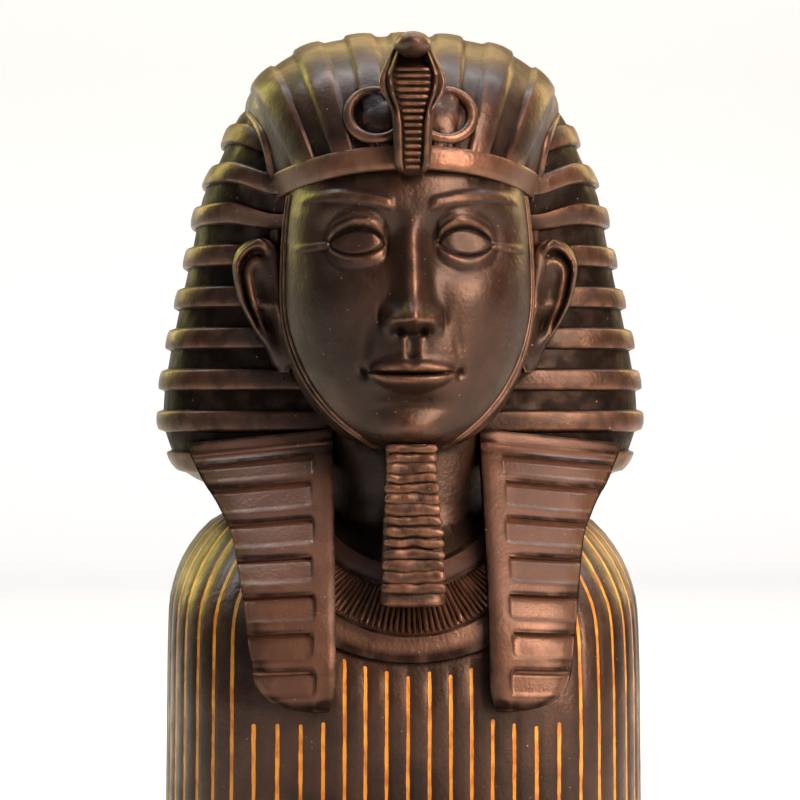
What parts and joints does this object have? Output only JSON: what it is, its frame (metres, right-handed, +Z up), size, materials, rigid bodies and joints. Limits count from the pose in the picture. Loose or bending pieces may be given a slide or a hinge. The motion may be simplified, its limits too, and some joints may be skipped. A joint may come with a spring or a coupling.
{
  "type": "sphinx statue",
  "caption": "Recumbent sphinx ornament: king's head in a striped headcloth on a lion's body, lying on a low oblong plinth.",
  "frame": {"origin": "middle of the plinth's underside", "axes": "+Z up, the figure looks along -Y, +X to the right as seen from the front (the figure's own left)"},
  "size_m": [0.0994, 0.25, 0.17],
  "materials": {
    "figure": "black-brown cast resin with a rubbed copper-bronze sheen and hand-painted gold lines",
    "plinth": "black-brown cast resin, satin, with a rubbed bronze edge"
  },
  "bodies": {
    "root": {"sphinx": "figure", "plinth": "plinth"}
  },
  "joints": []
}
